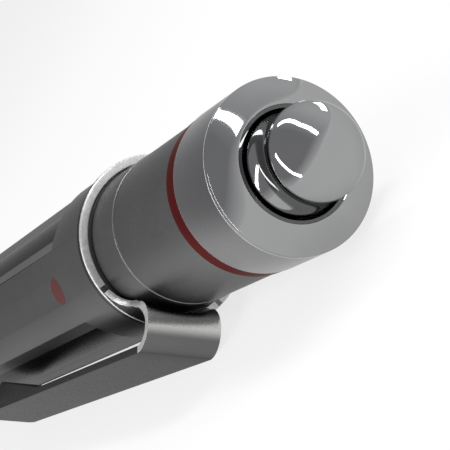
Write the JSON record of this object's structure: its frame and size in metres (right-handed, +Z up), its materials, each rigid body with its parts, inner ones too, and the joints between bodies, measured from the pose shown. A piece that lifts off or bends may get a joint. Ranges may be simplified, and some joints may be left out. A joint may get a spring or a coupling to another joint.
{
  "type": "lens cleaning pen",
  "caption": "Click-action lens cleaning pen: flatted satin barrel with pocket clip, chrome push button hiding a cleaning pad, and a soft brush that slides out of the nose.",
  "frame": {"origin": "centre of the nose's mouth, on the pen's axis", "axes": "+X along the pen from nose to button, +Z up with the pen lying on the ring and the lower edge of its clip, +Y completes the right hand"},
  "size_m": [0.1327, 0.0194, 0.0158],
  "materials": {
    "satin_aluminium": "fine bead-blasted grey anodising, satin",
    "brushed_band": "circumferentially brushed grey anodising",
    "clip_sheet": "satin grey coating with bright sheared edges",
    "polished_chrome": "mirror polish",
    "red_anodised": "dark red anodising, satin",
    "red_enamel": "matt enamel",
    "black_nylon": "moulded, matt",
    "white_acetal": "moulded, slight gloss",
    "brass_insert": "turned",
    "bright_steel": "drawn bar, fine turned",
    "spring_wire": "drawn wire",
    "nickel_ferrule": "nickel plated tube",
    "glue_plug": "set resin",
    "soft_hair": "fine soft hair",
    "black_rubber": "smooth",
    "pad_felt": "short felt"
  },
  "bodies": {
    "pen_body": {"barrel": "satin_aluminium", "bezel": "polished_chrome", "button_spring": "spring_wire", "cam_housing": "white_acetal", "clip": "clip_sheet", "clip_washer": "black_nylon", "index_dot": "red_enamel", "nose_bushing": "black_nylon", "nose_cone": "satin_aluminium", "red_ring": "red_anodised", "return_spring": "spring_wire", "tail_band": "brushed_band", "tail_collar": "satin_aluminium", "tail_sleeve": "satin_aluminium", "threaded_insert": "brass_insert"},
    "plunger": {"button_stem": "bright_steel", "cam_plunger": "white_acetal", "stop_clip": "bright_steel", "tip_holder": "black_nylon", "grip_ring": "black_rubber", "cleaning_pad": "pad_felt"},
    "button_head": {"button_dome": "polished_chrome"},
    "brush_carrier": {"cam_rotor": "white_acetal", "push_rod": "bright_steel", "brush_holder": "black_nylon", "brush_ferrule": "nickel_ferrule", "brush_plug": "glue_plug", "bristles": "soft_hair"}
  },
  "joints": [
    {"name": "button_press", "type": "slide", "parent": "pen_body", "child": "plunger", "axis": [-1, 0, 0], "range_m": [0, 0.006], "stiffness_N_per_m": 250, "springref_m": -0.004, "deforming": ["button_spring", "return_spring"]},
    {"name": "brush_slide", "type": "slide", "parent": "pen_body", "child": "brush_carrier", "axis": [-1, 0, 0], "range_m": [0, 0.006]},
    {"name": "head_pull", "type": "slide", "parent": "plunger", "child": "button_head", "axis": [1, 0, 0], "range_m": [0, 0.014]}
  ],
  "couplings": [
    {"joint": "brush_slide", "follows": "button_press", "ratio": 1}
  ]
}
